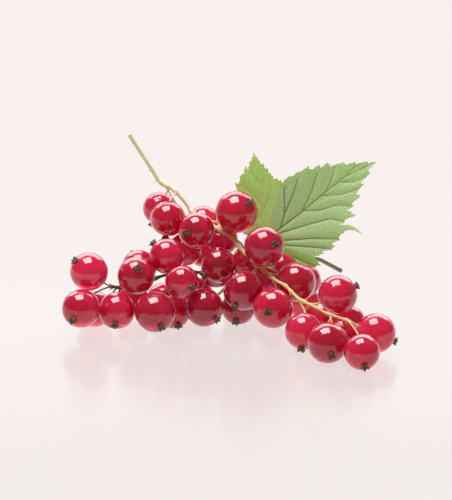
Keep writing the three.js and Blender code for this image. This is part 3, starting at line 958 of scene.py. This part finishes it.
def make_leaf():
    """The wrapped grid, raised by its relief and stood up on the stem's joint."""
    bm = bmesh.new()
    bmesh.ops.create_grid(bm, x_segments=SPOKES, y_segments=RINGS, size=1.0)
    grid = np.array([v.co for v in bm.verts])
    share = (grid[:, 1] + 1) / 2
    flat = leaf_edge((grid[:, 0] + 1) / 2) * share[:, None]
    near = distance_to_veins(flat)
    out = blade_relief(flat, near)
    curl_tip(flat, out)
    values = blade_values(flat, near)
    layers = {name: bm.verts.layers.float.new(name) for name in values}
    for i, vertex in enumerate(bm.verts):
        right, up = flat[i]
        vertex.co = LEAF_BASE + Vector((
            right,
            up * math.sin(LEAF_LEAN) - out[i] * math.cos(LEAF_LEAN),
            up * math.cos(LEAF_LEAN) + out[i] * math.sin(LEAF_LEAN),
        ))
        for name, layer in layers.items():
            vertex[layer] = values[name][i]
    bmesh.ops.remove_doubles(bm, verts=bm.verts, dist=0.004)
    bm.normal_update()
    if sum(face.normal.y * face.calc_area() for face in bm.faces) > 0:
        bmesh.ops.reverse_faces(bm, faces=bm.faces)  # so that the upper side looks to the front
    leaf = finish_piece(bm, "leaf_blade_skin", [LEAF_UPPER, LEAF_UNDER], "leaf_blade")
    thick = leaf.modifiers.new("thickness", "SOLIDIFY")
    thick.thickness = BLADE_THICKNESS * MM
    thick.offset = -1  # the thickness goes in behind the upper side
    thick.material_offset = 1
    return leaf


leaf = make_leaf()
front = sum(1 for face in leaf.data.polygons if face.normal.y < 0)
print("leaf faces", len(leaf.data.polygons), "of which face the front", front)

# %% [markdown]
# ## The table
#
# The sprig lies on a sheet of white acrylic that is lit from below, so it casts hardly any shadow
# and its berries glow at the bottom. The sheet is polished but a little hazy, and shows each
# berry faintly again below it. An emissive material is simpler than lamps under a sheet. Its
# strength grows a little from the front of the table to the back, where the lit backdrop is.

# %% Table
TABLE_SIDE = 6.0  # metres, so that its edge is never in view
HAZE_PATCHES = 9.0  # noise cells per metre: soft patches about 11 cm across


def lit_acrylic():
    """Polished acrylic over a light panel: a white that glows and mirrors faintly."""
    material, shader = new_material(
        "lit white acrylic", base_color=linear("#444140"), ior=1.4, emission_color=linear("#FFF6F5"),
    )
    here = add(material, "ShaderNodeTexCoord").outputs["Object"]
    depth = add(material, "ShaderNodeSeparateXYZ", inputs={0: here})
    glow = add(material, "ShaderNodeMapRange", {"clamp": True, "interpolation_type": "SMOOTHSTEP"},
               {"Value": depth.outputs["Y"], "From Min": -0.16, "From Max": 0.02,
                "To Min": 0.59, "To Max": 0.705})
    link(material, glow.outputs[0], shader.inputs["Emission Strength"])
    haze = add(material, "ShaderNodeTexNoise",
               inputs={"Vector": here, "Scale": HAZE_PATCHES, "Detail": 2.0})
    rough = add(material, "ShaderNodeMapRange",
                inputs={"Value": haze.outputs["Fac"], "To Min": 0.15, "To Max": 0.23})
    link(material, rough.outputs[0], shader.inputs["Roughness"])
    return material


def make_table():
    bm = bmesh.new()
    bmesh.ops.create_grid(bm, x_segments=1, y_segments=1, size=TABLE_SIDE / 2)
    mesh = bpy.data.meshes.new("table")
    bm.to_mesh(mesh)
    bm.free()
    mesh.materials.append(lit_acrylic())
    table = bpy.data.objects.new("table", mesh)
    bpy.context.scene.collection.objects.link(table)


make_table()
print("the table is", TABLE_SIDE, "m wide")

# %% [markdown]
# ## The light
#
# Glossy round berries show every lamp, so the lamps are few and plain. One square softbox hangs
# overhead: that is the small bright square on every berry. A broad panel behind draws the thin
# bright rims, and a large lit backdrop behind that shines through the leaf and the stalks
# from the back. Only a dim world shines from the camera's side, which keeps the fronts of the
# berries a clear deep red.

# %% Lights
def softbox(name, size, place, aim, power, turn=0.0):
    """A flat lamp of size (width, height) in metres, turned about its own beam, in watts."""
    data = bpy.data.lights.new(name, "AREA")
    data.shape = "RECTANGLE"
    data.size, data.size_y = size
    data.energy = power
    light = bpy.data.objects.new(name, data)
    light.location = place
    aimed = (Vector(aim) - Vector(place)).to_track_quat("-Z", "Y").to_matrix().to_4x4()
    light.matrix_world = Matrix.Translation(place) @ aimed @ Matrix.Rotation(turn, 4, "Z")
    bpy.context.scene.collection.objects.link(light)


softbox("overhead softbox", (0.5, 0.5), (-0.12, 0.0, 0.75), (0, 0, 0), 6.2, turn=math.radians(12))
softbox("rear panel", (2.4, 1.0), (0, 1.3, 1.0), (0, 0.2, 0), 20.0)
softbox("lit backdrop", (6.0, 3.0), (0, 2.6, 1.5), (0, 0, 1.5), 30.0)

world = bpy.data.worlds.new("dim studio")
world.use_nodes = True
background = world.node_tree.nodes["Background"]
background.inputs["Color"].default_value = linear("#FFF6F4")
background.inputs["Strength"].default_value = 0.13
bpy.context.scene.world = world
print("lamps:", ", ".join(lamp.name for lamp in bpy.data.lights))
